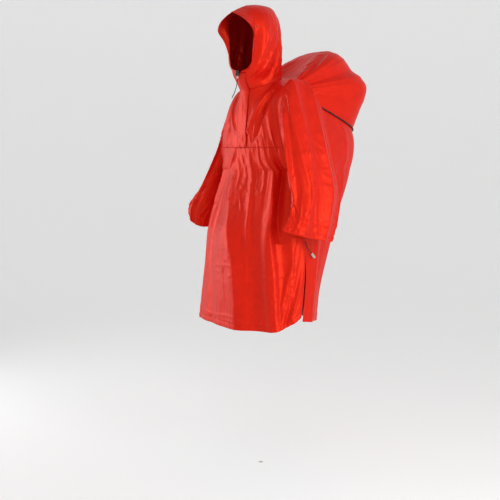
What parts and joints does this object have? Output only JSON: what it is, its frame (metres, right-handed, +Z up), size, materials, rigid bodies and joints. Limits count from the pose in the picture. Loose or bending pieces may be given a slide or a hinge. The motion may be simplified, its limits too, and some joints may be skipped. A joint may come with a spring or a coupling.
{
  "type": "hooded rain cape with sleeves",
  "caption": "Red rain cape as worn, with a raised hood, wide sleeves, side slits and a back cut full enough to go over a rucksack.",
  "frame": {"origin": "centre of the neck between the shoulders, where the wearer holds the garment up", "axes": "+X to the wearer's left, +Y to the wearer's back, +Z up; the front faces -Y"},
  "size_m": [0.7409, 0.6506, 1.2402],
  "materials": {
    "cloth": "semi-gloss coated nylon, thin and crinkled",
    "cord": "woven elastic cord",
    "lock": "black moulded plastic",
    "clip": "grey moulded plastic"
  },
  "bodies": {
    "root": {"front_yoke": "cloth", "front_skirt": "cloth", "pack_cover": "cloth", "back_skirt": "cloth", "sleeve_left": "cloth", "sleeve_right": "cloth", "hood_left": "cloth", "hood_right": "cloth", "hood_brim": "cloth", "placket": "cloth", "pack_cord": "cord", "chin_cord": "cord", "side_cord_left": "cord", "side_cord_right": "cord", "chin_lock": "lock", "chin_clip": "clip", "side_pull_left": "clip", "side_pull_right": "clip"}
  },
  "joints": []
}
